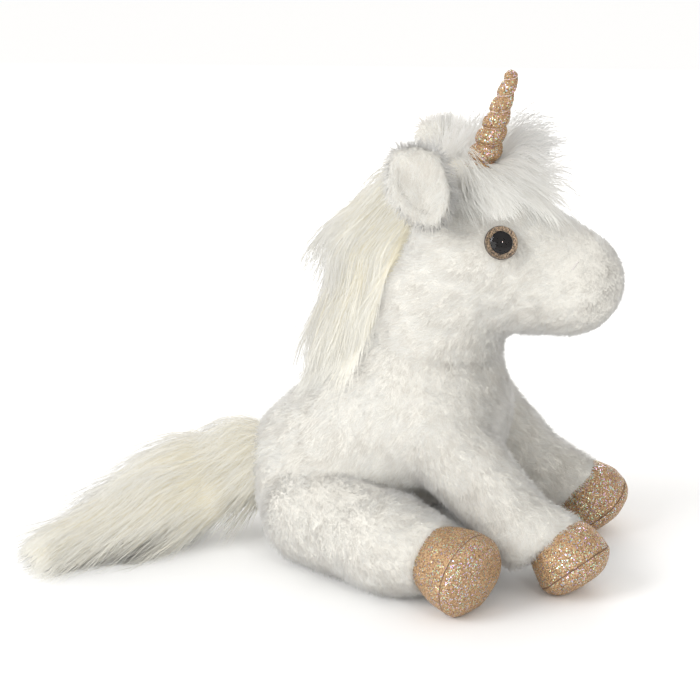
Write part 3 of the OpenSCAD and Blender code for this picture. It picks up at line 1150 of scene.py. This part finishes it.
def add_mane():
    crest = [
        vec(0, -0.066, 0.232),
        vec(0, -0.040, 0.222),
        vec(0, -0.014, 0.190),
        vec(0, 0.002, 0.145),
        vec(0, 0.006, 0.100),
    ]
    form = melted(
        [
            capsule(vec(0, -0.053, 0.221), 0.012, vec(0, -0.027, 0.198), 0.0175),
            capsule(vec(0, -0.028, 0.197), 0.0175, vec(0, -0.006, 0.142), 0.0165),
            capsule(vec(0, -0.050, 0.200), 0.014, vec(0, -0.030, 0.145), 0.014),
        ],
        0.012,
    )
    along = along_chain(crest)

    def flow(p, t, out):
        sideways = np.stack([np.sign(p[:, 0]) * 0.12, 0 * p[:, 0], 0 * p[:, 0]], 1)
        return along(p) + out * 0.20 * (1 - t) ** 1.3 + sideways + vec(0, 0, -0.45) * t

    heart = away_from([vec(0, -0.075, 0.20), vec(0, -0.045, 0.17), vec(0, -0.04, 0.10)])
    rests_on = [(HEAD, 0.004), (TORSO, 0.006)]
    add_hair_mass(
        "mane",
        form,
        "mane",
        "head",
        flow,
        heart,
        seed=61,
        length=0.054,
        spacing=0.00115,
        keep_out=rests_on,
    )


def add_forelock():
    form = melted(
        [
            capsule(vec(0, -0.066, 0.227), 0.008, vec(0, -0.090, 0.225), 0.008),
            capsule(vec(0, -0.090, 0.225), 0.008, vec(0, -0.107, 0.218), 0.005),
            *[
                capsule(vec(k * 0.012, -0.078, 0.224), 0.007, vec(k * 0.024, -0.094, 0.212), 0.004)
                for k in (1, -1)
            ],
        ],
        0.008,
    )
    crown = vec(0, -0.062, 0.232)

    def flow(p, t, out):
        """Forward and out from the crown: the left half stands up, the right half lies down."""
        spread = unit((p - crown) * vec(1.3, 1, 0.35))
        droop = vec(0, -0.10, -0.75) * t + vec(0, -0.30, 0.10)
        far_side = np.clip(0.25 + p[:, 0] / 0.012, 0, 1)[:, None]
        rise = far_side * vec(0, 0.15, 3.2) * (1 - t) ** 1.2
        lie = (1 - far_side) * vec(-0.75, 0, -0.45)
        return spread + out * (0.45 * (1 - t) ** 1.5) + droop + rise + lie

    def reach(p):
        """Hair on the right ends above the eye."""
        to_eye = np.min([np.linalg.norm(p - eye, axis=1) for eye in EYES.values()], axis=0)
        low_side = np.clip((to_eye - 0.010) / 0.034, 0.2, 1)
        return np.where(p[:, 0] > 0.002, 1.30, low_side)

    heart = away_from([vec(0, -0.060, 0.205), vec(0, -0.12, 0.19)])
    add_hair_mass(
        "forelock",
        form,
        "forelock",
        "head",
        flow,
        heart,
        seed=71,
        length=0.042,
        spacing=0.00088,
        keep_out=[(HEAD, 0.004), (horn_room, 0.001), (eye_room, 0.001)],
        width=0.00032,
        reach=reach,
        materials=PALE_HAIR,
    )


def eye_room(p):
    """Distance from the eyes, so that the hair stops above them."""
    return np.min([np.linalg.norm(p - eye, axis=1) for eye in EYES.values()], axis=0) - 0.0115


def horn_room(p):
    """Distance from the horn, so that the forelock parts round it."""
    t = np.clip((p - HORN_FOOT) @ HORN_AXIS, 0, 0.06)
    return np.linalg.norm(p - HORN_FOOT - t[:, None] * HORN_AXIS, axis=1) - (0.0118 - t * 0.10)


def add_tail():
    form = on_floor(
        melted(
            [
                ball(TAIL_ROOT, 0.016),
                capsule(TAIL_ROOT + unit(TAIL_BEND - TAIL_ROOT) * 0.012, 0.011, TAIL_BEND, 0.022),
                capsule(TAIL_BEND, 0.022, TAIL_END, 0.007),
            ],
            0.012,
        ),
        0.003,
    )
    along = along_chain([TAIL_ROOT, TAIL_BEND, (TAIL_BEND + TAIL_END) / 2, TAIL_END])

    def flow(p, t, out):
        """Up and over near the root, then along the tail to its end."""
        near_root = np.clip(1 - np.linalg.norm(p - TAIL_ROOT, axis=1) / 0.055, 0, 1)[:, None]
        arch = near_root * (vec(0, 0, 1.9) * (1 - t) ** 1.5 + vec(0, 0, -1.2) * t)
        return along(p) + out * (0.18 + near_root) * (1 - t) ** 1.3 + vec(0, 0, -0.45) * t + arch

    def reach(p):
        """Shorter toward the end of the tail."""
        left = np.linalg.norm(p - (TAIL_END + unit(TAIL_END - TAIL_BEND) * 0.018), axis=1)
        return np.clip(left / 0.060, 0.25, 1)

    def above_floor(p):
        return p[:, 2]

    add_hair_mass(
        "tail",
        form,
        "tail",
        "tail",
        flow,
        away_from([TAIL_ROOT, TAIL_BEND, TAIL_END]),
        seed=81,
        length=0.056,
        spacing=0.00115,
        keep_out=[(above_floor, 0.0012)],
        reach=reach,
        glow=0.6,
    )


# ---- Pieces that stay as in the frame ---------------------------------------------------------------


def finish_kept_pieces():
    repaint("pellet_bag", BAG_CLOTH)
    repaint("neck_stuffing", FIBRE)
    for name, side in SIDES:
        repaint(f"{name}_nostril_stitch", PALE_THREAD)


add_camera()
add_studio()
add_floor()
add_torso()
add_legs()
add_hooves()
add_head()
add_eyes()
add_horn()
add_ears()
add_mane()
add_forelock()
add_tail()
finish_kept_pieces()
